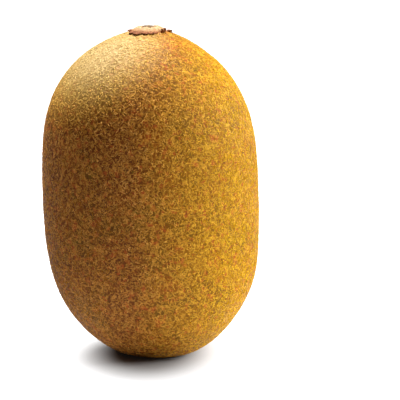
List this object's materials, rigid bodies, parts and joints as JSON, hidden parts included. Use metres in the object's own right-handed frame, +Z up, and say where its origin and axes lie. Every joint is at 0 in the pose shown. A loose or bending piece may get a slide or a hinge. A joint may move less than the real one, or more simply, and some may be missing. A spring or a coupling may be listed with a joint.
{
  "type": "golden kiwi fruit",
  "caption": "Whole golden kiwi fruit with a woody stem button and dried sepals, standing upright on a small flat spot at its blossom end.",
  "frame": {"origin": "middle of the bounding box's bottom, on the surface that the fruit stands on", "axes": "+Z up along the fruit's length from the blossom end to the stem end, -Y towards the front, +X to the right seen from the front"},
  "size_m": [0.0513, 0.049, 0.0782],
  "materials": {
    "skin": "dry, finely freckled golden brown skin with very short hairs",
    "woody_button": "dry, cracked, pale woody scar",
    "dried_sepal": "brittle, matt, dark brown",
    "dried_style": "brittle, matt, nearly black"
  },
  "bodies": {
    "root": {"fruit": "skin", "stem_button": "woody_button", "sepal_1": "dried_sepal", "sepal_2": "dried_sepal", "sepal_3": "dried_sepal", "sepal_4": "dried_sepal", "sepal_5": "dried_sepal", "style_tuft": "dried_style"}
  },
  "joints": []
}
